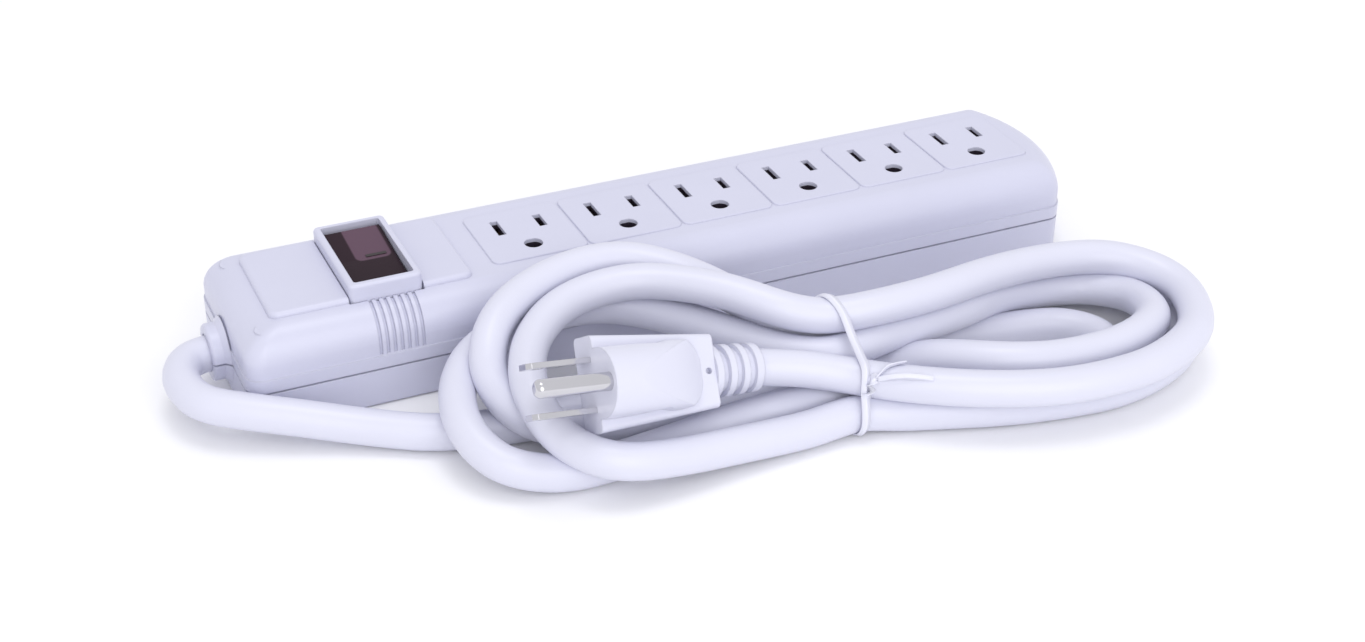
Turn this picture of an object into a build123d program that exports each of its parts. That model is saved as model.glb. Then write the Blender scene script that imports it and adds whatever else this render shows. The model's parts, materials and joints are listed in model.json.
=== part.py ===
from build123d import *
import math
import os

# Six-outlet power strip with a rocker switch, and its cord folded into a tied hank in front of it.
# Millimetres. Origin: bottom centre of the case. +X along the strip away from the cord,
# +Y to the long side away from the hank, +Z up.

os.makedirs("parts", exist_ok=True)

# ---- Case ----
HALF_WIDTH = 27.0
TOP_Z = 28.0
CORD_WALL_X = -127.05          # flat end wall that the cord boss stands on
FAR_APEX_X = 131.8             # furthest point of the bowed far end
FAR_BOW_RADIUS = 48.5
PLAN_CORNER = 5.4
LONG_EDGE_ROUND = 9.3
CORD_END_ROUND = 14.0          # long soft rounding above the cord end
CROWN_TRIM = 0.02
WALL = 2.2
INNER_CORNER = 2.6
PARTING_Z = 11.2
PARTING_GAP = 0.5
LEDGE_Z = 15.3                 # below it the cover is a little wider
LEDGE_STEP = 0.4
BASE_TAPER = 0.5
BOSS_RADIUS = 8.0
BOSS_TIP_X = -131.8
BOSS_FILLET = 1.5

# ---- Outlets ----
OUTLETS = 6
PITCH = 28.92
FIRST_OUTLET_X = -39.15
TILE_DEPTH = 28.6
TILE_RISE = 0.45
TILE_GAP = 0.5
TILE_CORNER = 2.4
BLADE_ROW_Y = 4.8
BLADE_HALF_SPACING = 6.35
GROUND_Y = -7.1
SLOT_WIDTH = 2.3
HOT_SLOT_LENGTH = 6.9
NEUTRAL_SLOT_LENGTH = 8.3
GROUND_RADIUS = 2.65
GROUND_FLAT = 2.45             # from the hole's centre to its flat side

# ---- Switch ----
SWITCH_X = -85.4
BEZEL_WIDTH = 20.5
BEZEL_LENGTH = 36.3
BEZEL_WALL = 1.85
BEZEL_TOP_Z = 33.0
BEZEL_FOOT_Z = 18.0
BEZEL_CLEARANCE = 0.25
PAD_RISE = 1.45
PAD_X = (-117.3, -60.6)
PAD_HALF_WIDTH = 17.9
PAD_CORNER = 2.6
PIVOT_Z = 22.0
ROCKER_WIDTH = 16.2
ROCKER_HALF_LENGTH = 15.2
ROCKER_RISE = 9.0              # its ends above the pivot
ROCKER_DISH = 0.35
ROCKER_TILT = 4.5              # each way from level
PIVOT_RADIUS = 1.5
PIVOT_CLEARANCE = 0.05
SWITCH_BASE_Z = 6.2
ARM_PIVOT_Z = 13.9
ARM_TILT = 8.0
ARM_PIN_RADIUS = 0.8
RIBS = 7
RIB_PITCH = 2.0
RIB_WIDTH = 0.8
RIB_DEPTH = 0.55
RIB_CENTRE_X = -84.4

# ---- Fasteners ----
POST_X = (-119.0, -2.0, 117.0)
POST_Y = 19.0
SCREW_RADIUS = 1.4
SCREW_HEAD_RADIUS = 2.8
CLAMP_X = -113.0
CLAMP_SCREW_Y = 10.5
KEYHOLE_X = 80.0

# ---- Cord and plug ----
CORD_RADIUS = 5.0
CORD_HOLE_RADIUS = 5.3
CORD_Z = 11.2
LEAD_START_X = -129.0
LEAD_ROUTE = [
    (LEAD_START_X, 0.0, CORD_Z),
    (-135.4, 0.0, CORD_Z),
    (-140.8, -5.0, 11.2),
    (-142.8, -14.0, 11.0),
    (-139.8, -24.4, 10.6),
    (-130.5, -31.0, 10.0),
    (-116.5, -37.4, 8.0),
    (-99.5, -45.0, 5.0),
    (-84.4, -55.4, 5.0),
]
PLUG_FACE = Vector(-51.8, -79.0, 26.7)
PLUG_REARWARD = Vector(0.9846, 0.0540, -0.1664)
PLUG_GROUNDWARD = Vector(0.1403, -0.8118, 0.5668)
PLUG_LENGTH = 33.7
HUMP_LENGTH = 30.2
RELIEF_LENGTH = 14.6
BLADE_LENGTH = 17.5
BLADE_WIDTH = 6.35
BLADE_THICKNESS = 1.5
GROUND_PIN_LENGTH = 20.5
GROUND_PIN_RADIUS = 2.4
GROUND_PIN_OFFSET = 11.9
GROOVE_WIDTH = 2.0
GROOVE_RADIUS = 5.6

TIE_X = 20.0
TIE_WIDTH = 4.2
TIE_THICKNESS = 0.9
TIE_SECTION = [(-95.5, 0.9), (-54.5, 0.9), (-54.5, 14.5), (-61, 27.3), (-75, 28.4), (-95.5, 16.5)]
TIE_CORNER = 4.0
KNOT_START = (-91.6, 20.1)        # across and above the tie's middle
KNOT_RADIUS = 1.6
KNOT_LENGTH = 5.0
TAIL_START = (-93.3, 24.8)
TAIL_DIRECTION = (0.86, -0.15, 0.50)
TAIL_RADIUS = 1.0
TAIL_LENGTH = 10.0
HANK_AIR = 0.4                    # between the hank and the strip
RECESS_FLOOR_Z = 10.6             # top of the strands that lie on the floor

# Parts sealed inside the case
BUS_Z = (12.0, 18.0)
BUS_THICKNESS = 0.7
CLIP_BOTTOM = 12.4
CLIP_TOP = 25.2
CLIP_LEAF = 0.5
CLIP_GAP = 2.0
GROUND_CLIP_GAP = 5.6
CLIP_DEPTH = 7.4
GROUND_CLIP_DEPTH = 6.0
HOT_BAR_Y = -0.9
NEUTRAL_BAR_Y = 11.4
GROUND_BAR_Y = -12.2
JACKET_END_X = CLAMP_X + 7
WIRE_RADIUS = 1.3
LAMP_WIRE_RADIUS = 0.9
WIRE_BEND = 1.9


def outlet_xs():
    return [FIRST_OUTLET_X + PITCH * i for i in range(OUTLETS)]


def box(x, y, z):
    """A box from (low, high) pairs."""
    size = (x[1] - x[0], y[1] - y[0], z[1] - z[0])
    centre = ((x[0] + x[1]) / 2, (y[0] + y[1]) / 2, (z[0] + z[1]) / 2)
    return Pos(*centre) * Box(*size)


def rod(start, direction, radius, length):
    """A round bar from a point along a direction."""
    return extrude(Plane(origin=start, z_dir=direction) * Circle(radius), length)


def plan_outline(inset):
    """The case seen from above: flat cord end, straight sides, bowed far end, sharp corners."""
    half = HALF_WIDTH - inset
    bow = FAR_BOW_RADIUS - inset
    corner_x = FAR_APEX_X - inset - (bow - math.sqrt(bow ** 2 - half ** 2))
    wall_x = CORD_WALL_X + inset
    front = Edge.make_line((wall_x, -half), (corner_x, -half))
    far_end = Edge.make_three_point_arc((corner_x, -half), (FAR_APEX_X - inset, 0), (corner_x, half))
    back = Edge.make_line((corner_x, half), (wall_x, half))
    cord_end = Edge.make_line((wall_x, half), (wall_x, -half))
    return Face(Wire([front, far_end, back, cord_end]))


def crowned_block(inset, bottom, top):
    """The case's form between two heights with its top roundings, drawn in by inset, corners sharp."""
    block = extrude(Pos(0, 0, bottom) * plan_outline(inset), top - bottom)
    edge_round = LONG_EDGE_ROUND - inset
    end_round = CORD_END_ROUND - inset
    wall_x = CORD_WALL_X + inset
    upper = [e for e in block.edges() if abs(e.center().Z - top) < 1e-6]
    rim = [e for e in upper if abs(e.center().X - wall_x) > 1.0]
    block = fillet(rim, edge_round)
    quarter = Edge.make_ellipse(
        end_round,
        edge_round,
        plane=Plane(origin=(wall_x + end_round, 0, top - edge_round), x_dir=(1, 0, 0), z_dir=(0, -1, 0)),
        start_angle=90,
        end_angle=180,
    )
    above = Polyline(
        quarter @ 1,
        (wall_x - 1, 0, top - edge_round),
        (wall_x - 1, 0, top + 1),
        (wall_x + end_round, 0, top + 1),
        quarter @ 0,
    )
    return block - extrude(Face(Wire([quarter, *above.edges()])), HALF_WIDTH + 1, both=True)


def cornered_prism(inset, bottom, top, corner):
    """The plan outline carried straight up, with round corners."""
    prism = extrude(Pos(0, 0, bottom) * plan_outline(inset), top - bottom)
    return fillet(prism.edges().filter_by(Axis.Z), corner)


def cover_form(bottom):
    """The cover's outside: the corner roundings run up and fade out just above the flat top."""
    form = crowned_block(LEDGE_STEP, bottom, TOP_Z + CROWN_TRIM)
    upright = [e for e in form.edges() if abs(e.tangent_at(0.5).Z) > 0.99 and e.length > 3]
    form = fillet(upright, PLAN_CORNER - LEDGE_STEP)
    return form - box((-150, 150), (-40, 40), (TOP_Z, TOP_Z + 2))


def cover_hollow(bottom):
    inset = WALL + LEDGE_STEP
    return crowned_block(inset, bottom, TOP_Z - WALL) & cornered_prism(inset, bottom, TOP_Z, INNER_CORNER)


def boss(radius, start_x, end_x):
    return rod((start_x, 0, CORD_Z), (1, 0, 0), radius, end_x - start_x)


def cord_boss():
    """The round boss on the flat end wall, with a soft root and a slight mouth rim."""
    stub = boss(BOSS_RADIUS, BOSS_TIP_X, CORD_WALL_X + 3)
    mouth = stub.edges().filter_by(GeomType.CIRCLE).sort_by(Axis.X)[0]
    stub = fillet([mouth], 0.9)
    root = Pos(CORD_WALL_X, 0, CORD_Z) * Rot(0, -90, 0) * Cone(BOSS_RADIUS + BOSS_FILLET, BOSS_RADIUS, 1.6)
    return stub + Pos(-0.8, 0, 0) * root


def outlet_tiles():
    """Six slightly raised square faces, one for each outlet."""
    side = PITCH - TILE_GAP
    tiles = Part()
    for x in outlet_xs():
        tile = extrude(Pos(x, 0, TOP_Z - 1) * RectangleRounded(side, TILE_DEPTH, TILE_CORNER), 1 + TILE_RISE)
        rim = tile.edges().group_by(Axis.Z)[-1]
        tiles += fillet(rim, 0.35)
    return tiles


def outlet_holes():
    """Hot slot, longer neutral slot and flat-sided ground hole of each outlet."""
    depth = (TOP_Z - WALL - 3, TOP_Z + 3)
    holes = Part()
    for x in outlet_xs():
        hot_x = x + BLADE_HALF_SPACING
        neutral_x = x - BLADE_HALF_SPACING
        hot = (BLADE_ROW_Y - HOT_SLOT_LENGTH / 2, BLADE_ROW_Y + HOT_SLOT_LENGTH / 2)
        neutral = (BLADE_ROW_Y - NEUTRAL_SLOT_LENGTH / 2, BLADE_ROW_Y + NEUTRAL_SLOT_LENGTH / 2)
        holes += box((hot_x - SLOT_WIDTH / 2, hot_x + SLOT_WIDTH / 2), hot, depth)
        holes += box((neutral_x - SLOT_WIDTH / 2, neutral_x + SLOT_WIDTH / 2), neutral, depth)
        ground = Pos(x, GROUND_Y, TOP_Z) * Cylinder(GROUND_RADIUS, 12)
        ground -= box((x - 4, x + 4), (GROUND_Y + GROUND_FLAT, GROUND_Y + 5), (TOP_Z - 7, TOP_Z + 7))
        holes += ground
    return holes


def switch_pad():
    """The soft raised plateau around the switch."""
    length = PAD_X[1] - PAD_X[0]
    middle = (PAD_X[0] + PAD_X[1]) / 2
    outline = RectangleRounded(length, 2 * PAD_HALF_WIDTH, PAD_CORNER)
    pad = extrude(Pos(middle, 0, TOP_Z - 3) * outline, 3 + PAD_RISE)
    return fillet(pad.edges().group_by(Axis.Z)[-1], 1.3)


def rib_grooves():
    """Seven grooves that run from the bezel's foot over the front rounding to the ledge."""
    half = HALF_WIDTH - LEDGE_STEP
    centre_y = -(half - LONG_EDGE_ROUND)
    centre_z = TOP_Z - LONG_EDGE_ROUND
    inner = LONG_EDGE_ROUND - RIB_DEPTH
    outer = LONG_EDGE_ROUND + 2
    grooves = Part()
    for i in range(RIBS):
        x = RIB_CENTRE_X + RIB_PITCH * (i - (RIBS - 1) / 2)
        start = Plane(origin=(x - RIB_WIDTH / 2, centre_y, centre_z), z_dir=(1, 0, 0), x_dir=(0, 1, 0))
        ring = extrude(start * (Circle(outer) - Circle(inner)), RIB_WIDTH)
        ring &= box((x - 1, x + 1), (centre_y - outer, centre_y), (centre_z, centre_z + outer))
        wall = box(
            (x - RIB_WIDTH / 2, x + RIB_WIDTH / 2),
            (centre_y - outer, centre_y - inner),
            (LEDGE_Z + 0.3, centre_z),
        )
        grooves += ring + wall
    return grooves


def screw_post(x, y, bottom, top, radius):
    return Pos(x, y, (bottom + top) / 2) * Cylinder(radius, top - bottom)


def post_places():
    return [(x, side * POST_Y) for x in POST_X for side in (-1, 1)]


def bezel_hole():
    half_x = BEZEL_WIDTH / 2 + BEZEL_CLEARANCE
    half_y = BEZEL_LENGTH / 2 + BEZEL_CLEARANCE
    return box((SWITCH_X - half_x, SWITCH_X + half_x), (-half_y, half_y), (PARTING_Z, BEZEL_TOP_Z))


def upper_shell():
    bottom = PARTING_Z + PARTING_GAP / 2
    inside = cover_hollow(bottom - 1)
    skirt = cornered_prism(0, bottom, LEDGE_Z, PLAN_CORNER)
    shell = cover_form(bottom) - inside
    for addition in (skirt, outlet_tiles(), switch_pad(), cord_boss()):
        shell += addition - inside
    for x, y in post_places():
        shell += screw_post(x, y, bottom, TOP_Z - WALL + 0.5, 3.2)
        shell -= screw_post(x, y, bottom - 1, TOP_Z - WALL - 1, SCREW_RADIUS + 0.05)
    shell -= boss(CORD_HOLE_RADIUS, BOSS_TIP_X - 1, CORD_WALL_X + 8)
    shell -= outlet_holes() + bezel_hole() + rib_grooves()
    shell -= box((-150, 150), (-40, 40), (0, bottom))
    return shell


def keyhole(x):
    """A hanging slot with a round entry, cut through the tray's floor."""
    entry = Pos(x, 0, 0) * Cylinder(4.3, 12)
    return entry + box((x, x + 11), (-2.2, 2.2), (-6, 6)) + Pos(x + 11, 0, 0) * Cylinder(2.2, 12)


def lower_shell():
    top = PARTING_Z - PARTING_GAP / 2
    tray = cornered_prism(0, 0, top, PLAN_CORNER)
    tray = chamfer(tray.edges().group_by(Axis.Z)[0], BASE_TAPER)
    tray += cord_boss() & box((-140, CORD_WALL_X + 3), (-20, 20), (0, top))
    tray += cornered_prism(WALL + LEDGE_STEP + 0.15, 0, top + 2, INNER_CORNER)
    tray -= cornered_prism(WALL + LEDGE_STEP + 1.3, WALL, 40, INNER_CORNER - 1)
    for x, y in post_places():
        tray -= screw_post(x, y, top, top + 5, 3.6)
        tray += screw_post(x, y, 0.3, top, 4.4)
        tray -= screw_post(x, y, -1, 3.0, SCREW_HEAD_RADIUS + 0.2)
        tray -= screw_post(x, y, 0, top + 1, SCREW_RADIUS + 0.15)
    for x in outlet_xs()[:-1]:
        tray += box((x + PITCH / 2 - 0.8, x + PITCH / 2 + 0.8), (-16.0, 16.0), (WALL - 0.5, 11.9))
    for x in (-KEYHOLE_X + 24, KEYHOLE_X - 6):
        cover = box((x - 6.5, x + 15.5), (-6.5, 6.5), (WALL - 0.5, 8.4))
        tray += cover - box((x - 5.3, x + 14.3), (-5.3, 5.3), (0, 7.2))
        tray -= keyhole(x)
    saddle = box((CLAMP_X - 4, CLAMP_X + 4), (-14, 14), (WALL - 0.5, CORD_Z - 0.1))
    tray += saddle
    for side in (-1, 1):
        tray -= screw_post(CLAMP_X, side * CLAMP_SCREW_Y, 4, 20, SCREW_RADIUS - 0.25)
    tray -= boss(CORD_HOLE_RADIUS, BOSS_TIP_X - 1, CORD_WALL_X + 8)
    return tray - boss(CORD_RADIUS, CLAMP_X - 5, CLAMP_X + 5)


def case_screws():
    screws = Part()
    for x, y in post_places():
        head = screw_post(x, y, 1.0, 2.9, SCREW_HEAD_RADIUS)
        head -= box((x - 2.0, x + 2.0), (y - 0.35, y + 0.35), (0, 1.7))
        head -= box((x - 0.35, x + 0.35), (y - 2.0, y + 2.0), (0, 1.7))
        screws += head + screw_post(x, y, 2.9, 21.5, SCREW_RADIUS)
    return screws


def cord_clamp():
    """The bar that grips the cord's jacket inside the case."""
    bar = box((CLAMP_X - 3.5, CLAMP_X + 3.5), (-14, 14), (CORD_Z + 0.1, CORD_Z + 7.6))
    bar -= boss(CORD_RADIUS, CLAMP_X - 5, CLAMP_X + 5)
    for side in (-1, 1):
        bar -= screw_post(CLAMP_X, side * CLAMP_SCREW_Y, 4, 30, SCREW_RADIUS - 0.1)
    return bar


def clamp_screws():
    radius = SCREW_RADIUS - 0.25
    screws = Part()
    for side in (-1, 1):
        y = side * CLAMP_SCREW_Y
        head = screw_post(CLAMP_X, y, CORD_Z + 7.6, CORD_Z + 9.4, 2.4)
        head -= box((CLAMP_X - 1.8, CLAMP_X + 1.8), (y - 0.35, y + 0.35), (CORD_Z + 8.6, CORD_Z + 10))
        screws += head + screw_post(CLAMP_X, y, 4.5, CORD_Z + 7.6, radius)
    return screws


def switch_bezel():
    """The frame that stands through the cover and carries the rocker's pivot."""
    half_x = BEZEL_WIDTH / 2
    half_y = BEZEL_LENGTH / 2
    frame = box((SWITCH_X - half_x, SWITCH_X + half_x), (-half_y, half_y), (BEZEL_FOOT_Z, BEZEL_TOP_Z))
    frame = fillet(frame.edges().filter_by(Axis.Z), 1.6)
    frame = fillet(frame.edges().group_by(Axis.Z)[-1], 0.9)
    inner_x = half_x - BEZEL_WALL
    inner_y = half_y - BEZEL_WALL
    window = box((SWITCH_X - inner_x, SWITCH_X + inner_x), (-inner_y, inner_y), (0, BEZEL_TOP_Z + 1))
    frame -= fillet(window.edges().filter_by(Axis.Z), 0.8)
    pivot_start = (SWITCH_X - half_x - 1, 0, PIVOT_Z)
    pivot = rod(pivot_start, (1, 0, 0), PIVOT_RADIUS + PIVOT_CLEARANCE, BEZEL_WIDTH + 2)
    return frame - pivot


def switch_base():
    """The closed tray under the bezel that holds the contacts."""
    half_x = BEZEL_WIDTH / 2
    half_y = BEZEL_LENGTH / 2
    outer = box((SWITCH_X - half_x, SWITCH_X + half_x), (-half_y, half_y), (SWITCH_BASE_Z, BEZEL_FOOT_Z))
    inner_x = half_x - BEZEL_WALL
    inner_y = half_y - BEZEL_WALL
    tray = outer - box((SWITCH_X - inner_x, SWITCH_X + inner_x), (-inner_y, inner_y), (SWITCH_BASE_Z + 2, 20))
    for y in (-8.0, 0.0, 11.5):
        tray -= box((SWITCH_X - 3.1, SWITCH_X + 3.1), (y - 0.5, y + 0.5), (0, 12))
    return tray


def rocker_frame(shape):
    """Carries a shape drawn with the rocker level, about its pivot, to the rest tilt."""
    return Pos(SWITCH_X, 0, PIVOT_Z) * Rot(ROCKER_TILT, 0, 0) * shape


def rocker():
    """A dished paddle with the near end pressed down, on two pivot pins."""
    half = ROCKER_HALF_LENGTH
    hub = PIVOT_RADIUS + 1.6
    side = Polyline(
        (-half, ROCKER_RISE),
        (0, ROCKER_RISE - ROCKER_DISH),
        (half, ROCKER_RISE),
        (half - 0.6, 4.2),
        (hub, 3.0),
        (hub, -hub),
        (-hub, -hub),
        (-hub, 3.0),
        (-half + 0.6, 4.2),
        close=True,
    )
    start = Plane(origin=(-ROCKER_WIDTH / 2, 0, 0), z_dir=(1, 0, 0), x_dir=(0, 1, 0))
    paddle = extrude(start * make_face(side), ROCKER_WIDTH)
    ends = [e for e in paddle.edges() if abs(abs(e.center().Y) - half) < 1e-3 and abs(e.center().X) < 1]
    sides = [e for e in paddle.edges() if abs(abs(e.center().X) - ROCKER_WIDTH / 2) < 1e-3]
    crown = [e for e in sides if e.center().Z > ROCKER_RISE - 0.4]
    paddle = fillet(ends + crown, 0.5)
    paddle -= Pos(0, 0, -hub + 5) * Cylinder(1.9, 10)
    reach = ROCKER_WIDTH / 2 + 1.8
    for side_sign in (-1, 1):
        start_x = side_sign * (ROCKER_WIDTH / 2 - 1)
        paddle += rod((start_x, 0, 0), (side_sign, 0, 0), PIVOT_RADIUS, reach - abs(start_x))
    return rocker_frame(paddle)


def rocker_mark():
    """The small raised bar printed across the rocker near its middle."""
    dish_z = ROCKER_RISE - ROCKER_DISH
    mark = box((-0.2, 5.6), (0.4, 1.5), (dish_z + 0.05, dish_z + 0.22))
    return rocker_frame(mark)


def rocker_plunger():
    pin = Pos(0, 0, -3.6) * Cylinder(1.6, 5.2)
    return rocker_frame(fillet(pin.edges().group_by(Axis.Z)[0], 0.7))


def plunger_spring():
    """The coil spring behind the plunger."""
    coil = Helix(pitch=1.0, height=5.0, radius=1.2)
    wire = sweep(Plane(origin=coil @ 0, z_dir=coil % 0) * Circle(0.22), path=coil)
    return rocker_frame(Pos(0, 0, -0.6) * wire)


def contact_arm():
    """The tilting blade that makes and breaks the hot side."""
    plate = box((-3.0, 3.0), (-9.5, 9.5), (-0.4, 0.4))
    plate += rod((-4.6, 0, 0), (1, 0, 0), ARM_PIN_RADIUS, 9.2)
    button = Pos(0, -8.0, -0.7) * Cylinder(1.3, 0.6)
    return Pos(SWITCH_X, 0, ARM_PIVOT_Z) * Rot(-ARM_TILT, 0, 0) * (plate + button)


def tab_terminal(y, top):
    """A flat spade that passes down through the switch tray's floor."""
    return box((SWITCH_X - 3.0, SWITCH_X + 3.0), (y - 0.4, y + 0.4), (3.4, top))


def line_terminal():
    """The common terminal: a spade with two ears that the contact arm pivots in."""
    post = tab_terminal(0, SWITCH_BASE_Z + 3.2)
    post += box((SWITCH_X - 4.4, SWITCH_X + 4.4), (-1.6, 1.6), (SWITCH_BASE_Z + 2.2, SWITCH_BASE_Z + 3.2))
    hole_radius = ARM_PIN_RADIUS + PIVOT_CLEARANCE
    for side in (-1, 1):
        x = SWITCH_X + side * 4.0
        post += box((x - 0.4, x + 0.4), (-1.6, 1.6), (SWITCH_BASE_Z + 2.2, ARM_PIVOT_Z + 1.5))
    return post - rod((SWITCH_X - 6, 0, ARM_PIVOT_Z), (1, 0, 0), hole_radius, 12)


def load_terminal():
    """The switched terminal under the contact arm's button."""
    post = tab_terminal(-8.0, 10.6)
    return post + Pos(SWITCH_X, -8.0, 10.9) * Cylinder(1.3, 0.6)


def neutral_terminal():
    return tab_terminal(11.5, 11.0)


def neon_lamp():
    """The small lamp that lights the rocker from below when the strip is on."""
    glass = rod((SWITCH_X - 4, 7.8, 9.7), (1, 0, 0), 1.4, 8)
    return fillet(glass.edges().filter_by(GeomType.CIRCLE), 0.9)


def lamp_resistor():
    body = rod((SWITCH_X - 3, 14.4, 9.9), (1, 0, 0), 1.1, 6)
    return body + rod((SWITCH_X - 5, 14.4, 9.9), (1, 0, 0), 0.3, 10)


def spring_clip(x, y, gap, depth, bottom, top):
    """A pair of contact leaves either side of a blade."""
    clip = Part()
    for side in (-1, 1):
        near = side * gap / 2
        far = side * (gap / 2 + CLIP_LEAF)
        clip += box((x + min(near, far), x + max(near, far)), (y - depth / 2, y + depth / 2), (bottom, top))
    return clip



def bus(bar_y, offset, clip_y, gap, depth):
    """A brass strip under the outlets with one contact clip for each."""
    xs = [x + offset for x in outlet_xs()]
    half = BUS_THICKNESS / 2
    strip = box((xs[0] - 8, xs[-1] + 4), (bar_y - half, bar_y + half), BUS_Z)
    for x in xs:
        strip += spring_clip(x, clip_y, gap, depth, CLIP_BOTTOM, CLIP_TOP)
        edge = clip_y - math.copysign(depth / 2 - 0.3, clip_y - bar_y)
        foot = gap / 2 + CLIP_LEAF
        reach = (min(bar_y, edge), max(bar_y, edge))
        strip += box((x - foot, x + foot), reach, (CLIP_BOTTOM, CLIP_BOTTOM + 0.8))
    return strip


def hot_bus():
    return bus(HOT_BAR_Y, BLADE_HALF_SPACING, BLADE_ROW_Y - 0.2, CLIP_GAP, CLIP_DEPTH)


def neutral_bus():
    return bus(NEUTRAL_BAR_Y, -BLADE_HALF_SPACING, BLADE_ROW_Y + 0.6, CLIP_GAP, CLIP_DEPTH)


def ground_bus():
    return bus(GROUND_BAR_Y, 0, GROUND_Y, GROUND_CLIP_GAP, GROUND_CLIP_DEPTH)


def wire(points, radius):
    """A short internal lead: straight runs joined by arcs."""
    path = FilletPolyline(*points, radius=WIRE_BEND)
    return sweep(Plane(origin=path @ 0, z_dir=path % 0) * Circle(radius), path=path)


def inner_cord():
    """The jacket's end inside the case, from the boss to behind the clamp."""
    return boss(CORD_RADIUS, LEAD_START_X, JACKET_END_X)



def hot_lead():
    end = (SWITCH_X - 3.1, 0, 4.6)
    return wire([(JACKET_END_X, 0, 9.0), (-99, 0, 9.0), (-99, 0, 4.6), end], WIRE_RADIUS)


def switched_lead():
    end_x = FIRST_OUTLET_X + BLADE_HALF_SPACING - 8.5
    start = (SWITCH_X + 3.1, -8, 4.8)
    return wire([start, (-72, -8, 4.8), (-62, -2, 14), (end_x, HOT_BAR_Y, 15)], WIRE_RADIUS)


def neutral_lead():
    end_x = FIRST_OUTLET_X - BLADE_HALF_SPACING - 9.3
    start = (JACKET_END_X, 2.4, 12.6)
    end = (end_x, NEUTRAL_BAR_Y, 15)
    return wire([start, (-101, 2.4, 12.6), (-97, 21, 14), (-66, 21, 14), end], WIRE_RADIUS)


def ground_lead():
    end_x = FIRST_OUTLET_X - 9.0
    start = (JACKET_END_X, -2.4, 12.6)
    end = (end_x, GROUND_BAR_Y, 15)
    return wire([start, (-101, -2.4, 12.6), (-97, -21, 14), (-66, -21, 14), end], WIRE_RADIUS)


def neutral_tap():
    """The thin lead from the neutral side to the lamp's terminal."""
    start = (SWITCH_X + 3.1, 11.5, 4.6)
    return wire([start, (-70, 11.5, 4.6), (-62, 11.5, 9.5), (-58.5, 12.8, 12.2)], LAMP_WIRE_RADIUS)


def seen_from_end(x=0.0):
    """The plane across the strip: its x is the row's Y and its y is the row's Z."""
    return Plane(origin=(x, 0, 0), x_dir=(0, 1, 0), z_dir=(1, 0, 0))


def cord_route(points):
    """Straight runs joined by the largest tangent arcs that the runs allow."""
    spots = [Vector(*p) for p in points]
    radii = []
    for before, here, after in zip(spots, spots[1:], spots[2:]):
        turn = (here - before).get_angle(after - here)
        run = min((here - before).length, (after - here).length)
        radii.append(0.45 * run / math.tan(math.radians(turn / 2)))
    print("cord radii", [round(r, 1) for r in radii])
    return FilletPolyline(*spots, radius=radii)


def cord_lead():
    route = cord_route(LEAD_ROUTE)
    print("lead length", round(route.length, 1))
    tube = sweep(Plane(origin=route @ 0, z_dir=route % 0) * Circle(CORD_RADIUS), path=route)
    print("lead volume ratio", round(tube.volume / (math.pi * CORD_RADIUS ** 2 * route.length), 4))
    return tube


def plug_place(shape):
    """Carries a shape drawn in the plug's own frame (+Z towards the cord, +Y to the ground pin)."""
    across = PLUG_GROUNDWARD.cross(PLUG_REARWARD)
    return Plane(origin=PLUG_FACE, x_dir=across, z_dir=PLUG_REARWARD).location * shape


def hump():
    """The arched hump over the ground pin, falling and narrowing to a rounded end."""
    profile = make_face([
        Edge.make_three_point_arc((-9.0, 6.9, 0), (0, 15.9, 0), (9.0, 6.9, 0)),
        Edge.make_line((9.0, 6.9, 0), (9.0, 0, 0)),
        Edge.make_line((9.0, 0, 0), (-9.0, 0, 0)),
        Edge.make_line((-9.0, 0, 0), (-9.0, 6.9, 0)),
    ])
    seen_from_side = make_face([
        Edge.make_line((0, 0, 0), (16.2, 0, 0)),
        Edge.make_three_point_arc((16.2, 0, 0), (13.9, 16.0, 0), (5.4, HUMP_LENGTH, 0)),
        Edge.make_line((5.4, HUMP_LENGTH, 0), (0, HUMP_LENGTH, 0)),
        Edge.make_line((0, HUMP_LENGTH, 0), (0, 0, 0)),
    ])
    seen_from_above = make_face([
        Edge.make_line((-9.5, 0, 0), (9.5, 0, 0)),
        Edge.make_line((9.5, 0, 0), (8.2, -17.0, 0)),
        Edge.make_three_point_arc((8.2, -17.0, 0), (0, 0.4 - HUMP_LENGTH, 0), (-8.2, -17.0, 0)),
        Edge.make_line((-8.2, -17.0, 0), (-9.5, 0, 0)),
    ])
    arch = extrude(profile, 35)
    arch &= extrude(seen_from_end() * seen_from_side, 12, both=True)
    return arch & extrude(Rot(-90, 0, 0) * seen_from_above, 20, both=True)


def plug_body():
    face = Pos(0, -0.5, 0) * RectangleRounded(25.0, 10.0, 1.6)
    rear = Pos(0, 0, PLUG_LENGTH) * RectangleRounded(19.2, 12.6, 1.6)
    slab = loft([face, rear])
    body = slab + hump()
    body -= Pos(0, 6.4, PLUG_LENGTH - 2.1) * Rot(-90, 0, 0) * Cylinder(0.8, 3.4)
    return plug_place(body)


def plug_relief():
    """The grooved sleeve where the cord leaves the plug."""
    sleeve = loft([
        Pos(0, 0, PLUG_LENGTH) * Circle(7.2),
        Pos(0, 0, PLUG_LENGTH + RELIEF_LENGTH) * Circle(6.5),
    ])
    for z in (3.1, 7.2, 11.2):
        ring = Cylinder(9, GROOVE_WIDTH) - Cylinder(GROOVE_RADIUS, GROOVE_WIDTH)
        sleeve -= Pos(0, 0, PLUG_LENGTH + z) * ring
    return plug_place(sleeve)


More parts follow.
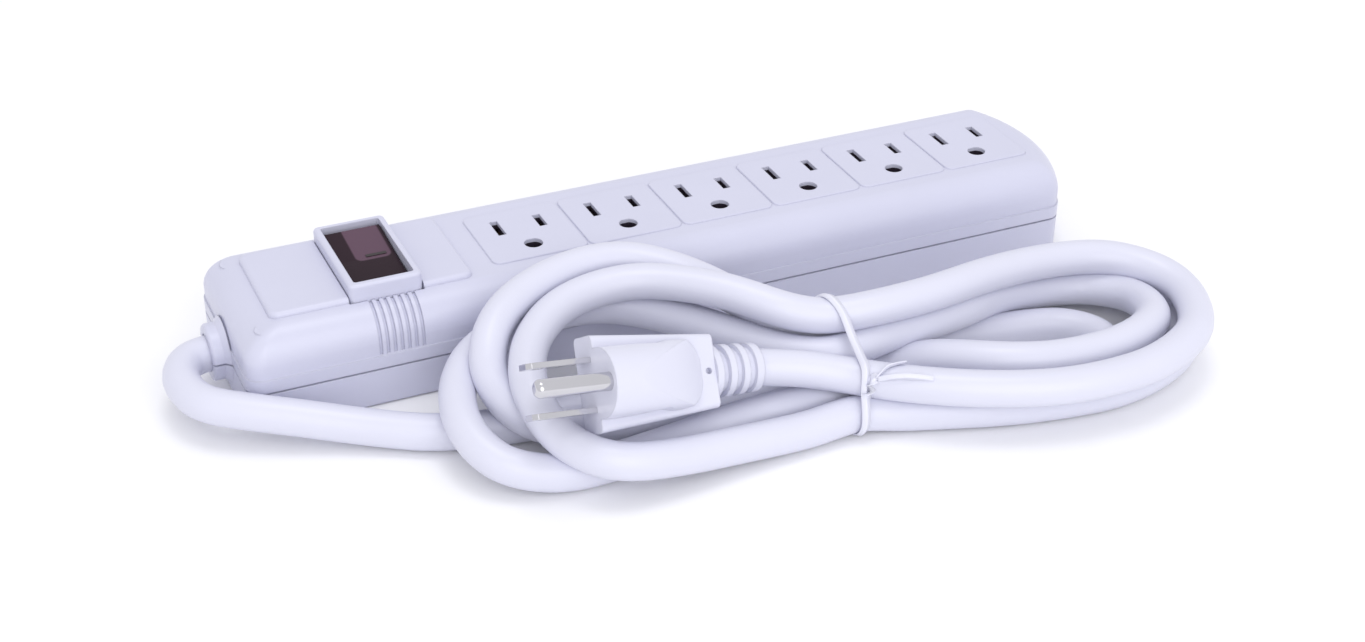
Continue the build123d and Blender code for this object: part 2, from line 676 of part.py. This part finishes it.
def plug_blade(side):
    half = BLADE_WIDTH / 2
    blade = box(
        (side * BLADE_HALF_SPACING - BLADE_THICKNESS / 2, side * BLADE_HALF_SPACING + BLADE_THICKNESS / 2),
        (-half, half),
        (-BLADE_LENGTH, 0),
    )
    tip = [e for e in blade.edges() if abs(e.center().Z + BLADE_LENGTH) < 1e-6 and abs(e.center().Y) > 1]
    blade = chamfer(tip, 1.2)
    hole = Pos(side * BLADE_HALF_SPACING, 0, -BLADE_LENGTH + 4.0) * Rot(0, 90, 0) * Cylinder(1.55, 4)
    return plug_place(blade - hole)


def ground_pin():
    pin = Pos(0, GROUND_PIN_OFFSET, -GROUND_PIN_LENGTH / 2) * Cylinder(GROUND_PIN_RADIUS, GROUND_PIN_LENGTH)
    return plug_place(fillet(pin.edges().group_by(Axis.Z)[0], 1.6))


def softened(points, radius):
    """A closed outline with its corners rounded."""
    outline = make_face(Polyline(*points, close=True))
    return fillet(outline.vertices(), radius)


def cord_hank():
    """The outer form of the tied hank: a low slab with two raised loops, leaning on the case."""
    outline = [
        (-83.5, -44), (-70, -28), (-58, -21.5), (-8, -21.5), (6, -34), (22, -53), (104, -50.5),
        (131, -56), (138.5, -76), (122, -109), (92, -122), (58, -116), (26, -98), (-10, -100),
        (-48, -106), (-70, -97), (-85.5, -78),
    ]
    hank = extrude(softened(outline, 8), 42)
    over_length = Polyline(
        (-90, 0), (-90, 21), (-66, 33), (-50, 36.5), (-8, 36.5), (22, 28.5),
        (62, 28.5), (142, 20.5), (142, 0), close=True,
    )
    hank &= extrude(Plane.XZ * make_face(over_length), 130, both=True)
    over_width = Polyline(
        (-125, 0), (-125, 20.5), (-106, 20.5), (-62, 36.5), (-15, 36.5), (-15, 0), close=True,
    )
    hank &= extrude(seen_from_end() * make_face(over_width), 160, both=True)
    hank -= left_recess() + right_recess()
    return hank - case_clearance() - plug_nest()


def left_recess():
    """The open middle of the left loops, above the strands that lie on the floor."""
    outline = [(-60, -68), (-60, -54), (-48, -45), (-24, -45), (-6, -60), (-2, -70)]
    return extrude(Pos(0, 0, RECESS_FLOOR_Z) * softened(outline, 3), 40)


def right_recess():
    outline = [(58, -86), (58, -77), (76, -71), (103, -69), (111, -78), (104, -89), (80, -91)]
    return extrude(Pos(0, 0, RECESS_FLOOR_Z) * softened(outline, 3), 40)


def case_clearance():
    """The strip's own form with a little air around it."""
    body = box((-160, 160), (-HALF_WIDTH - HANK_AIR, 40), (-1, TOP_Z + HANK_AIR))
    edge = [e for e in body.edges().filter_by(Axis.X) if e.center().Y < 0 and e.center().Z > 10]
    return fillet(edge, LONG_EDGE_ROUND + HANK_AIR)


def plug_nest():
    """The room that the plug, its blades and its sleeve take in the hank."""
    body = box((-13.2, 13.2), (-7.6, 40), (-0.6, PLUG_LENGTH + RELIEF_LENGTH))
    blades = box((-9.0, 9.0), (-4.6, 40), (-30, 0))
    return plug_place(body + blades)



def tie_loop(thickness):
    outline = softened(TIE_SECTION, TIE_CORNER)
    return extrude(seen_from_end(TIE_X) * offset(outline, thickness), TIE_WIDTH / 2, both=True)


def hank_waist():
    """Narrows the hank where the tie draws it together."""
    across = seen_from_end(TIE_X)
    everything = extrude(across * (Pos(-70, 20) * Rectangle(140, 60)), TIE_WIDTH / 2 + 0.6, both=True)
    return everything - extrude(across * softened(TIE_SECTION, TIE_CORNER), TIE_WIDTH, both=True)


def twist_tie():
    """A flat ribbon around the hank with its two ends twisted together in front."""
    band = tie_loop(TIE_THICKNESS) - tie_loop(0.15)
    knot = rod((TIE_X, *KNOT_START), (0.0, -0.4, 0.92), KNOT_RADIUS, KNOT_LENGTH)
    tails = rod((TIE_X, *TAIL_START), TAIL_DIRECTION, TAIL_RADIUS, TAIL_LENGTH)
    return band + knot + tails


def save(name, shape):
    export_step(shape, "parts/" + name + ".step")


PARTS = {
    "upper_shell": upper_shell,
    "lower_shell": lower_shell,
    "case_screws": case_screws,
    "cord_clamp": cord_clamp,
    "clamp_screws": clamp_screws,
    "switch_bezel": switch_bezel,
    "switch_base": switch_base,
    "rocker": rocker,
    "rocker_mark": rocker_mark,
    "rocker_plunger": rocker_plunger,
    "plunger_spring": plunger_spring,
    "contact_arm": contact_arm,
    "line_terminal": line_terminal,
    "load_terminal": load_terminal,
    "neutral_terminal": neutral_terminal,
    "neon_lamp": neon_lamp,
    "lamp_resistor": lamp_resistor,
    "hot_bus": hot_bus,
    "neutral_bus": neutral_bus,
    "ground_bus": ground_bus,
    "hot_lead": hot_lead,
    "switched_lead": switched_lead,
    "neutral_lead": neutral_lead,
    "ground_lead": ground_lead,
    "neutral_tap": neutral_tap,
    "inner_cord": inner_cord,
    "cord_lead": cord_lead,
    "cord_hank": lambda: cord_hank() - hank_waist(),
    "twist_tie": twist_tie,
    "plug_body": plug_body,
    "plug_relief": plug_relief,
    "hot_blade": lambda: plug_blade(1),
    "neutral_blade": lambda: plug_blade(-1),
    "ground_pin": ground_pin,
}
for name, make in PARTS.items():
    save(name, make())
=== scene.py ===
import json
import math

import bmesh
import bpy
from mathutils import Matrix, Vector


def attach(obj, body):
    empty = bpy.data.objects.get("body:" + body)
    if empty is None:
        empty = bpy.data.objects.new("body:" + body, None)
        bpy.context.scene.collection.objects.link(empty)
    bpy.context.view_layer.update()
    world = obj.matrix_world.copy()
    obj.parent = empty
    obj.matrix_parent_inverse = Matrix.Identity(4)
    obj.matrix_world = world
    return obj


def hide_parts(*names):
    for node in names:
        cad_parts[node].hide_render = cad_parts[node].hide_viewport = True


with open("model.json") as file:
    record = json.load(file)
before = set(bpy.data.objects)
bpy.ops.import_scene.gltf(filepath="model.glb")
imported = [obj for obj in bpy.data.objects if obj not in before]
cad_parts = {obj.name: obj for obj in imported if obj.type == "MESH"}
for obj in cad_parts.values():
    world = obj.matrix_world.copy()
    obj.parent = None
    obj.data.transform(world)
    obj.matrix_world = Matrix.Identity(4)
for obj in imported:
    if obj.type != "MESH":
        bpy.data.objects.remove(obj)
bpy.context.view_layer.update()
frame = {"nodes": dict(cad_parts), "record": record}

MM = 0.001
CORD_DIAMETER = 0.010

# ---------------------------------------------------------------- camera

CAMERA_PLACE = (-0.21358, -0.48699, 0.31251)
CAMERA_AZIMUTH = -24.698
CAMERA_ELEVATION = 31.290
CAMERA_ROLL = 0.598
CAMERA_LENS = 54.67


def add_camera():
    """Looks down over the near long side, from the cord's end."""
    azimuth = math.radians(CAMERA_AZIMUTH)
    elevation = math.radians(CAMERA_ELEVATION)
    roll = math.radians(CAMERA_ROLL)
    back = Vector((
        math.sin(azimuth) * math.cos(elevation),
        -math.cos(azimuth) * math.cos(elevation),
        math.sin(elevation),
    ))
    right = Vector((0, 0, 1)).cross(back).normalized()
    up = back.cross(right)
    tilted_right = math.cos(roll) * right + math.sin(roll) * up
    tilted_up = -math.sin(roll) * right + math.cos(roll) * up
    data = bpy.data.cameras.new("view")
    data.lens = CAMERA_LENS
    data.sensor_width = 36.0
    data.clip_start = 0.01
    data.clip_end = 20.0
    camera = bpy.data.objects.new("view", data)
    turn = Matrix((tilted_right, tilted_up, back)).transposed().to_4x4()
    camera.matrix_world = Matrix.Translation(CAMERA_PLACE) @ turn
    bpy.context.scene.collection.objects.link(camera)
    bpy.context.scene.camera = camera


add_camera()

# ---------------------------------------------------------------- cord

LEAD_ROUTE = [
    (-0.1290, 0.0000, 0.0112), (-0.1354, -0.0004, 0.0112), (-0.1400, -0.0050, 0.0112),
    (-0.1418, -0.0130, 0.0110), (-0.1390, -0.0234, 0.0106), (-0.1305, -0.0298, 0.0101),
    (-0.1165, -0.0366, 0.0083), (-0.0995, -0.0444, 0.0054), (-0.0844, -0.0534, 0.0050),
]

LEAD_ROUTE_END_MM = tuple(v / MM for v in LEAD_ROUTE[-1])

# Where each fold of the hank passes, in mm, from one crossing of the tie to the next.
# The tie crosses at x = 20; a row's first place is the crossing it starts from.
FOLDS = [
    # The lead's last run to the tie.
    [(-66, -57.6, 5), (-40, -58.3, 5), (-10, -59.4, 5)],
    # First right fold, on the floor inside the others.
    [(20, -60, 5.9), (38, -61.5, 5), (60, -65.5, 5), (80, -68.3, 5), (96, -72.3, 5),
     (103, -83, 5), (96, -94, 5), (76, -96.3, 5), (54, -91.2, 5), (38, -85, 5)],
    # First left fold, up over the lead and back in front of the case.
    [(20, -80, 5.9), (-6.1, -79.1, 5), (-34.3, -82.5, 5), (-58.8, -83.9, 5), (-75.2, -77.7, 8.2),
     (-80.5, -63.5, 13), (-76.1, -47.6, 15.7), (-65.4, -36.7, 18.1), (-48.3, -32.2, 19.9),
     (-28.2, -33.5, 20.2), (-8.1, -47.4, 17.4), (6.9, -64, 14.9)],
    # Second right fold, on the first.
    [(20, -74.6, 15.2), (38, -72.5, 16.1), (54, -70.9, 15.7), (66, -67.9, 15.1), (78, -62.6, 13),
     (92, -60, 10.2), (108.5, -62.6, 9.4), (118, -75, 11), (113, -92, 14), (95, -100.8, 15.1),
     (75, -100, 15), (60, -94.1, 15), (46.5, -81.4, 11.9), (37, -74.1, 5.7)],
    # Second left fold, highest beside the case.
    [(20, -70, 5.9), (-0.1, -69.8, 5), (-26.3, -70, 5), (-48.4, -69.2, 6.7),
     (-62.6, -65.4, 10.5), (-68.6, -55.9, 16.4), (-67.8, -47.8, 23.3), (-59.3, -38, 28.6),
     (-41.2, -28.9, 30.4), (-20.1, -28, 30.1), (-3, -40.9, 26.2), (9, -54.4, 20.4)],
    # Third right fold, on the floor outside the others.
    [(20, -62.8, 15.8), (30, -62.2, 15.2), (42, -57, 13.8), (54, -51.7, 9.6), (70, -49.8, 5.6),
     (92, -50.5, 5), (112, -53.5, 5), (127, -64, 5), (130, -79, 5), (123, -93.5, 5),
     (110, -102.5, 5), (90, -107.3, 5), (64, -103.8, 5), (46, -98.4, 5), (32, -93.6, 5)],
    # Third left fold, across the first and under the plug's blades.
    [(20, -90, 5.9), (6.1, -90.7, 5), (-15.9, -91.9, 6.7), (-36.1, -94, 9.6), (-51.3, -93, 12.5),
     (-59.8, -81.9, 14.1), (-62.7, -69.6, 18.5), (-61, -58.9, 23.1), (-53.9, -47.9, 26),
     (-40.5, -39.5, 28.2), (-21, -39.4, 29.3), (-2.4, -52.5, 29), (9.3, -63.3, 26.4)],
    # Fourth right fold, on top of all.
    [(20, -68.6, 24.2), (34, -72.2, 25.4), (52, -72, 25.6), (68, -67.8, 24.2), (84, -63.4, 21.9),
     (101, -61.3, 19.7), (116, -64.5, 18.6), (126.3, -74, 16.8), (128.5, -85, 15.2),
     (122, -99, 15), (111.5, -107.5, 15), (94, -113.6, 15), (70, -112.8, 15), (48, -104.5, 15),
     (30, -93, 14.8)],
    # Back through the tie to the plug's sleeve.
    [(20, -84.8, 14.8), (9, -79.8, 16.8), (-4.2, -76.5, 18.7), (-6.4, -76.4, 19.1)],
]


LOWEST_CENTRE_MM = CORD_DIAMETER / 2 / MM


def midway(before, here, after, beyond):
    """The place halfway from here to after on a smooth line through all four."""
    return [(9 * (b + c) - a - d) / 16 for a, b, c, d in zip(before, here, after, beyond)]


def hank_points():
    """Every fold's own places, with one more worked out between each pair."""
    places = [place for fold in FOLDS for place in fold]
    around = [LEAD_ROUTE_END_MM] + places + [places[-1]]
    points = []
    for i in range(1, len(around) - 2):
        points.append(around[i])
        x, y, z = midway(*around[i - 1:i + 3])
        points.append((x, y, max(z, LOWEST_CENTRE_MM)))
    points.append(places[-1])
    return [tuple(v * MM for v in p) for p in points]


def add_cord():
    """The whole cord as one open tube, from inside the boss to the plug's sleeve."""
    data = bpy.data.curves.new("mains_cord", "CURVE")
    data.dimensions = "3D"
    data.bevel_depth = CORD_DIAMETER / 2
    data.bevel_resolution = 8
    data.resolution_u = 6
    data.use_fill_caps = True
    points = LEAD_ROUTE + hank_points()
    line = data.splines.new("NURBS")
    line.points.add(len(points) - 1)
    for spot, (x, y, z) in zip(line.points, points):
        spot.co = (x, y, z, 1.0)
    line.order_u = 3
    line.use_endpoint_u = True
    cord = bpy.data.objects.new("mains_cord", data)
    bpy.context.scene.collection.objects.link(cord)
    return cord


cord = add_cord()

# ---------------------------------------------------------------- twist tie

TIE_PATH = [
    (22.0, -68.7, 29.7), (23.2, -73.9, 27.7), (23.6, -79.2, 22.9), (23.0, -84.9, 20.7),
    (21.8, -90.5, 19.4), (20.8, -92.5, 14.1), (20.0, -95.0, 10.4), (19.5, -96.1, 5.6),
    (19.4, -93.3, 1.7), (19.6, -88.0, 0.80), (20.0, -76.0, 0.78), (20.0, -64.0, 0.80),
    (20.0, -57.2, 1.7), (20.0, -54.6, 5.8), (20.2, -56.0, 11.0), (20.6, -57.1, 17.2),
    (21.0, -60.9, 22.5), (21.4, -63.6, 26.8),
]
KNOT_PATH = [
    (20.9, -93.0, 13.2), (21.6, -93.4, 14.6), (22.3, -93.4, 16.0), (23.0, -93.0, 17.2),
    (24.4, -93.0, 18.2),
]
UPPER_TAIL_PATH = [
    (23.4, -93.0, 17.8), (26.6, -92.4, 20.2), (29.6, -92.2, 20.6), (32.6, -92.2, 20.5),
]
LOWER_TAIL_PATH = [
    (24.0, -93.5, 17.6), (26.6, -95.4, 18.8), (30.0, -97.4, 19.4), (33.6, -99.3, 19.2),
    (36.4, -100.8, 18.8),
]
BAND_HALF_WIDTH = 1.2
KNOT_HALF_WIDTH = 1.5
UPPER_TAIL_HALF_WIDTH = 1.1
LOWER_TAIL_HALF_WIDTH = 1.0
# The ribbon's section: share of the half width, and height in mm. The wire is the ridge.
TIE_PROFILE = [
    (-1.0, 0.0), (-1.0, 0.34), (-0.34, 0.40), (-0.16, 0.74),
    (0.16, 0.74), (0.34, 0.40), (1.0, 0.34), (1.0, 0.0),
]


def smooth_loop(places, closed, steps=4):
    """More places on a smooth line through the given ones."""
    count = len(places)
    out = []
    last = count if closed else count - 1
    for i in range(last):
        if closed:
            four = [places[(i + k) % count] for k in (-1, 0, 1, 2)]
        else:
            four = [places[min(max(i + k, 0), count - 1)] for k in (-1, 0, 1, 2)]
        a, b, c, d = (Vector(p) for p in four)
        for step in range(steps):
            t = step / steps
            square = (2 * a - 5 * b + 4 * c - d) * t * t
            cube = (3 * b - a - 3 * c + d) * t ** 3
            out.append(0.5 * ((2 * b) + (c - a) * t + square + cube))
    if not closed:
        out.append(Vector(places[-1]))
    return out


def ribbon(name, places, closed, across, half_width, twist=0.0):
    """A flat ribbon with a wire down its middle, swept along the places (mm)."""
    line = smooth_loop(places, closed)
    count = len(line)
    mesh = bmesh.new()
    rings = []
    for i, here in enumerate(line):
        if closed:
            along = line[(i + 1) % count] - line[i - 1]
        else:
            along = line[min(i + 1, count - 1)] - line[max(i - 1, 0)]
        along.normalize()
        side = (Vector(across) - Vector(across).dot(along) * along).normalized()
        outward = along.cross(side)
        turn = Matrix.Rotation(twist * i / (count - 1), 3, along)
        side = turn @ side
        outward = turn @ outward
        rings.append([
            mesh.verts.new((here + side * (share * half_width) + outward * height) * MM)
            for share, height in TIE_PROFILE
        ])
    sides = len(TIE_PROFILE)
    for i in range(count if closed else count - 1):
        near, far = rings[i], rings[(i + 1) % count]
        for k in range(sides):
            after = (k + 1) % sides
            mesh.faces.new((near[k], near[after], far[after], far[k]))
    if not closed:
        mesh.faces.new(rings[0])
        mesh.faces.new(list(reversed(rings[-1])))
    bmesh.ops.recalc_face_normals(mesh, faces=mesh.faces)
    data = bpy.data.meshes.new(name)
    mesh.to_mesh(data)
    mesh.free()
    for face in data.polygons:
        face.use_smooth = True
    piece = bpy.data.objects.new(name, data)
    bpy.context.scene.collection.objects.link(piece)
    return piece


def add_tie():
    """The band round the hank, its knot in front and its two loose tails."""
    return [
        ribbon("tie_band", TIE_PATH, True, (1, 0, 0), BAND_HALF_WIDTH),
        ribbon("tie_knot", KNOT_PATH, False, (0, 0, 1), KNOT_HALF_WIDTH, 6.5),
        ribbon(
            "tie_tail_upper", UPPER_TAIL_PATH, False, (0, -0.5, 0.85), UPPER_TAIL_HALF_WIDTH, 0.5),
        ribbon(
            "tie_tail_lower", LOWER_TAIL_PATH, False, (0, -0.3, 0.95), LOWER_TAIL_HALF_WIDTH, -0.5),
    ]


tie_pieces = add_tie()

# ---------------------------------------------------------------- materials


MOTTLE_SCALE = 45.0


def finish_of(name, colour, vary, rough, grain, height, metallic=0.0, soft_edge=0.0, **inputs):
    """One procedural finish: mottled colour, uneven roughness and a fine surface grain."""
    material = bpy.data.materials.new(name)
    material.use_nodes = True
    nodes = material.node_tree.nodes
    links = material.node_tree.links
    shader = nodes["Principled BSDF"]
    place = nodes.new("ShaderNodeTexCoord")
    cloud = nodes.new("ShaderNodeTexNoise")
    cloud.inputs["Scale"].default_value = MOTTLE_SCALE
    cloud.inputs["Detail"].default_value = 3.0
    fine = nodes.new("ShaderNodeTexNoise")
    fine.inputs["Scale"].default_value = grain
    fine.inputs["Detail"].default_value = 2.0
    links.new(place.outputs["Object"], cloud.inputs["Vector"])
    links.new(place.outputs["Object"], fine.inputs["Vector"])
    ramp = nodes.new("ShaderNodeValToRGB")
    ramp.color_ramp.elements[0].position = 0.3
    ramp.color_ramp.elements[1].position = 0.7
    ramp.color_ramp.elements[0].color = (*[max(0.0, c * (1 - vary)) for c in colour], 1.0)
    ramp.color_ramp.elements[1].color = (*[min(1.0, c * (1 + vary)) for c in colour], 1.0)
    links.new(cloud.outputs["Fac"], ramp.inputs["Fac"])
    links.new(ramp.outputs["Color"], shader.inputs["Base Color"])
    spread = nodes.new("ShaderNodeMapRange")
    spread.inputs["To Min"].default_value = rough * 0.88
    spread.inputs["To Max"].default_value = min(1.0, rough * 1.12)
    links.new(cloud.outputs["Fac"], spread.inputs["Value"])
    links.new(spread.outputs["Result"], shader.inputs["Roughness"])
    bump = nodes.new("ShaderNodeBump")
    bump.inputs["Strength"].default_value = 0.5
    bump.inputs["Distance"].default_value = height
    links.new(fine.outputs["Fac"], bump.inputs["Height"])
    links.new(bump.outputs["Normal"], shader.inputs["Normal"])
    if soft_edge:
        edge = nodes.new("ShaderNodeBevel")
        edge.samples = 4
        edge.inputs["Radius"].default_value = soft_edge
        links.new(edge.outputs["Normal"], bump.inputs["Normal"])
    shader.inputs["Metallic"].default_value = metallic
    for key, value in inputs.items():
        shader.inputs[key.replace("_", " ")].default_value = value
    return material


def colour_where(material, mask, colour):
    """Lays a second colour over the finish wherever the mask is 1."""
    nodes = material.node_tree.nodes
    links = material.node_tree.links
    shader = nodes["Principled BSDF"]
    under = shader.inputs["Base Color"].links[0].from_socket
    blend = nodes.new("ShaderNodeMix")
    blend.data_type = "RGBA"
    colours = [socket for socket in blend.inputs if socket.type == "RGBA"]
    colours[1].default_value = colour
    links.new(mask, blend.inputs[0])
    links.new(under, colours[0])
    mixed = [socket for socket in blend.outputs if socket.type == "RGBA"][0]
    links.new(mixed, shader.inputs["Base Color"])
    return material


def vector_step(material, operation, value, constant=None):
    """One step of vector arithmetic; gives back the node."""
    step = material.node_tree.nodes.new("ShaderNodeVectorMath")
    step.operation = operation
    if constant is not None:
        step.inputs[1].default_value = constant
    material.node_tree.links.new(value, step.inputs[0])
    return step


def add_lamp_patch(material):
    """The rocker is smoked plastic: the lamp's pale seat shows through its back half."""
    nodes = material.node_tree.nodes
    place = nodes.new("ShaderNodeTexCoord")
    apart = vector_step(material, "SUBTRACT", place.outputs["Object"], LAMP_PATCH_MIDDLE)
    size = vector_step(material, "ABSOLUTE", apart.outputs["Vector"])
    beyond = vector_step(material, "SUBTRACT", size.outputs["Vector"], LAMP_PATCH_CORE)
    outside = vector_step(material, "MAXIMUM", beyond.outputs["Vector"], (0.0, 0.0, 0.0))
    away = vector_step(material, "LENGTH", outside.outputs["Vector"])
    fade = nodes.new("ShaderNodeMapRange")
    fade.inputs["From Min"].default_value = LAMP_PATCH_FADE[0]
    fade.inputs["From Max"].default_value = LAMP_PATCH_FADE[1]
    fade.inputs["To Min"].default_value = 1.0
    fade.inputs["To Max"].default_value = 0.0
    material.node_tree.links.new(away.outputs["Value"], fade.inputs["Value"])
    return colour_where(material, fade.outputs["Result"], LAMP_PATCH_COLOUR)


def add_painted_throat_shade(material):
    """Paints shade onto the outlet openings' walls below the rim that daylight reaches."""
    nodes = material.node_tree.nodes
    links = material.node_tree.links
    place = nodes.new("ShaderNodeTexCoord")
    axes = nodes.new("ShaderNodeSeparateXYZ")
    links.new(place.outputs["Object"], axes.inputs["Vector"])
    inside = None
    for axis, (middle, reach) in PAINTED_SHADE_ZONE.items():
        near = nodes.new("ShaderNodeMath")
        near.operation = "COMPARE"
        near.inputs[1].default_value = middle
        near.inputs[2].default_value = reach
        links.new(axes.outputs[axis], near.inputs[0])
        if inside is None:
            inside = near.outputs["Value"]
            continue
        both = nodes.new("ShaderNodeMath")
        both.operation = "MULTIPLY"
        links.new(inside, both.inputs[0])
        links.new(near.outputs["Value"], both.inputs[1])
        inside = both.outputs["Value"]
    return colour_where(material, inside, PAINTED_SHADE_COLOUR)


# The middle and half length of the painted shade zone along each axis: the lower part of the
# openings' walls, from the first outlet to the last, painted dark as shade.
PAINTED_SHADE_ZONE = {"X": (0.0330, 0.0860), "Y": (0.0, 0.0125), "Z": (0.0264, 0.0009)}
# Painted shade: the dark colour laid on the openings' lower walls.
PAINTED_SHADE_COLOUR = (0.035, 0.026, 0.040, 1.0)
# The patch is a box with its edges rounded and faded between the two distances.
LAMP_PATCH_MIDDLE = (-0.0835, 0.0085, 0.045)
LAMP_PATCH_CORE = (0.0030, 0.0080, 0.02)
LAMP_PATCH_FADE = (0.0018, 0.0023)
LAMP_PATCH_COLOUR = (0.115, 0.066, 0.098, 1.0)
SHELL = (0.60, 0.605, 0.735)
VINYL = (0.675, 0.68, 0.79)
BEZEL = (0.61, 0.615, 0.745)
FINISHES = {
    # The case plastic carries painted shade inside the outlet openings.
    "case_plastic": add_painted_throat_shade(
        finish_of("case_plastic", SHELL, 0.012, 0.34, 2600, 0.00003, soft_edge=0.0005)),
    "bezel_plastic": finish_of(
        "bezel_plastic", BEZEL, 0.012, 0.34, 2600, 0.00002, soft_edge=0.0005),
    "inner_plastic": finish_of(
        "inner_plastic", (0.12, 0.12, 0.13), 0.03, 0.6, 1500, 0.00004),
    "screw_steel": finish_of(
        "screw_steel", (0.60, 0.60, 0.62), 0.04, 0.32, 1800, 0.00002, metallic=1.0),
    "contact_brass": finish_of(
        "contact_brass", (0.26, 0.17, 0.09), 0.08, 0.5, 1800, 0.00002, metallic=1.0),
    "lamp_glass": finish_of(
        "lamp_glass", (0.95, 0.78, 0.68), 0.02, 0.08, 900, 0.00001, Transmission_Weight=0.9),
    "resistor_body": finish_of(
        "resistor_body", (0.55, 0.42, 0.28), 0.06, 0.5, 1500, 0.00003),
    "black_insulation": finish_of(
        "black_insulation", (0.025, 0.025, 0.027), 0.1, 0.4, 1500, 0.00003),
    "white_insulation": finish_of(
        "white_insulation", (0.75, 0.75, 0.75), 0.02, 0.4, 1500, 0.00003),
    "green_insulation": finish_of(
        "green_insulation", (0.04, 0.26, 0.09), 0.06, 0.4, 1500, 0.00003),
    "cord_jacket": finish_of("cord_jacket", VINYL, 0.012, 0.36, 1700, 0.00004),
    "tie_ribbon": finish_of("tie_ribbon", (0.76, 0.765, 0.87), 0.015, 0.38, 2200, 0.00004),
    "plug_vinyl": finish_of("plug_vinyl", VINYL, 0.012, 0.33, 2000, 0.00003, soft_edge=0.0006),
    "blade_nickel": finish_of(
        "blade_nickel", (0.64, 0.635, 0.665), 0.03, 0.13, 2400, 0.00001,
        metallic=1.0, soft_edge=0.0003),
    "rocker_plastic": add_lamp_patch(finish_of(
        "rocker_plastic", (0.024, 0.011, 0.018), 0.10, 0.28, 900, 0.00001,
        soft_edge=0.0004, Specular_IOR_Level=0.10)),
    "mark_plastic": finish_of("mark_plastic", (0.02, 0.012, 0.014), 0.1, 0.3, 900, 0.00001),
}
for subpart in frame["record"]["subparts"]:
    node = frame["nodes"][subpart["node"]]
    node.data.materials.clear()
    node.data.materials.append(FINISHES[subpart["material_slot"]])

cord.data.materials.append(FINISHES["cord_jacket"])
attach(cord, "case")
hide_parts("cord_lead", "cord_hank")
for piece in tie_pieces:
    piece.data.materials.append(FINISHES["tie_ribbon"])
    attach(piece, "case")
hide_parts("twist_tie")

# ---------------------------------------------------------------- stage

FLOOR_HALF_SIZE = 4.0
FLOOR_GAP = 0.0002


def add_floor():
    """A pale seamless floor, far wider than the view."""
    mesh = bmesh.new()
    bmesh.ops.create_grid(mesh, x_segments=8, y_segments=8, size=FLOOR_HALF_SIZE)
    data = bpy.data.meshes.new("floor")
    mesh.to_mesh(data)
    mesh.free()
    floor = bpy.data.objects.new("floor", data)
    floor.location = (0, 0, -FLOOR_GAP)
    paper = finish_of("floor_paper", (0.94, 0.94, 0.95), 0.004, 0.9, 300, 0.00002)
    data.materials.append(paper)
    bpy.context.scene.collection.objects.link(floor)


def add_light(name, place, size, power):
    """A soft round light turned to the middle of the object."""
    data = bpy.data.lights.new(name, "AREA")
    data.shape = "DISK"
    data.size = size
    data.energy = power
    light = bpy.data.objects.new(name, data)
    light.location = place
    light.rotation_euler = Vector(place).to_track_quat("Z", "Y").to_euler()
    bpy.context.scene.collection.objects.link(light)


def add_world(strength):
    """An even, very slightly cool surround."""
    world = bpy.data.worlds.new("studio")
    world.use_nodes = True
    ground = world.node_tree.nodes["Background"]
    ground.inputs["Color"].default_value = (0.97, 0.97, 1.0, 1.0)
    ground.inputs["Strength"].default_value = strength
    bpy.context.scene.world = world


add_floor()
add_world(0.89)
add_light("key", (-0.15, -1.4, 0.75), 1.4, 8)
add_light("top", (0.0, -0.05, 1.4), 0.6, 3.2)
bpy.context.scene.view_settings.view_transform = "Standard"
